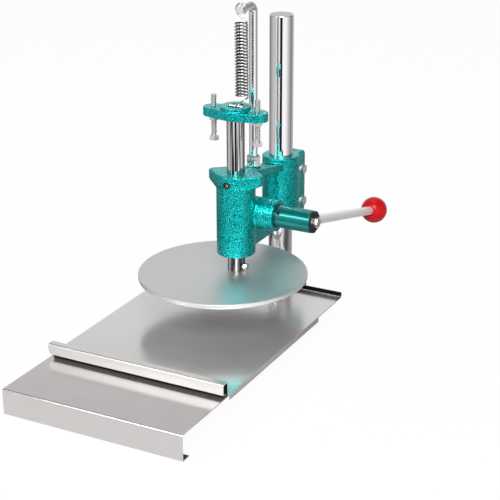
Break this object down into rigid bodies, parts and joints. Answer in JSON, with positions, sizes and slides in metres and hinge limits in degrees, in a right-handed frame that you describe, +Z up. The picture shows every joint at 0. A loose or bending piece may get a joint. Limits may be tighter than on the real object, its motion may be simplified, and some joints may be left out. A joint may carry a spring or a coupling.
{
  "type": "pizza dough press",
  "caption": "Hand press: a side lever drives a round plate down by rack and pinion over a sliding steel tray; a spring lifts it back.",
  "frame": {"origin": "on the bench plane, in the middle of the spine tube's flat underside, on the axis of the press ram", "axes": "+Z up along the ram, +X towards the lever's side, +Y back along the tray towards the column"},
  "size_m": [0.267, 0.6481, 0.4736],
  "materials": {
    "stainless": "fine brushed stainless sheet",
    "chrome": "hard chromed, polished",
    "hammered_teal": "teal hammered enamel on cast iron",
    "satin_teal": "smooth teal enamel",
    "bright_steel": "zinc plated",
    "black_oxide": "black oxide",
    "tube_grey": "grey paint",
    "bronze": "plain bronze bush",
    "ball_red": "glossy phenolic"
  },
  "bodies": {
    "base": {"base_sheet": "stainless", "spine_tube": "tube_grey", "rear_foot_left": "tube_grey", "rear_foot_right": "tube_grey", "column_foot_block": "bright_steel", "column_foot_bolt": "bright_steel", "column": "chrome"},
    "tray": {"tray": "stainless"},
    "head": {"body_casting": "hammered_teal", "guide_screw": "black_oxide", "clamp_bolt_upper": "bright_steel", "clamp_bolt_lower": "bright_steel", "clamp_washer_upper": "bright_steel", "clamp_washer_lower": "bright_steel", "clamp_nut_upper": "bright_steel", "clamp_nut_lower": "bright_steel", "spring_post": "chrome", "post_nut": "bright_steel", "post_jam_nut": "bright_steel", "right_bush": "bronze", "left_bush": "bronze", "shaft_plug": "bright_steel"},
    "lever": {"pinion_shaft": "bright_steel", "lever_hub": "satin_teal", "hub_grub_screw": "black_oxide", "hub_washer": "black_oxide", "hub_bolt": "bright_steel", "lever_rod": "chrome", "ball_knob": "ball_red"},
    "ram": {"ram": "chrome", "press_plate": "stainless", "plate_screw": "bright_steel", "crossplate": "hammered_teal", "crossplate_screw": "black_oxide", "hook_pin": "bright_steel", "stop_screw_left": "bright_steel", "stop_screw_right": "bright_steel", "stop_nut_left": "bright_steel", "stop_nut_right": "bright_steel", "return_spring": "bright_steel"}
  },
  "joints": [
    {"name": "head_height", "type": "slide", "parent": "base", "child": "head", "axis": [0, 0, 1], "range_m": [0, 0.19]},
    {"name": "lever_turn", "type": "hinge", "parent": "head", "child": "lever", "pos_m": [0, 0.022, 0.178], "axis": [1, 0, 0], "range_deg": [0, 162.33]},
    {"name": "ram_slide", "type": "slide", "parent": "head", "child": "ram", "axis": [0, 0, -1], "range_m": [0, 0.0425], "stiffness_N_per_m": 1860, "springref_m": -0.032, "deforming": ["return_spring"]},
    {"name": "tray_slide", "type": "slide", "parent": "base", "child": "tray", "axis": [0, 1, 0], "range_m": [-0.1, 0.0245]}
  ],
  "couplings": [
    {"joint": "ram_slide", "follows": "lever_turn", "m_per_rad": 0.015}
  ]
}
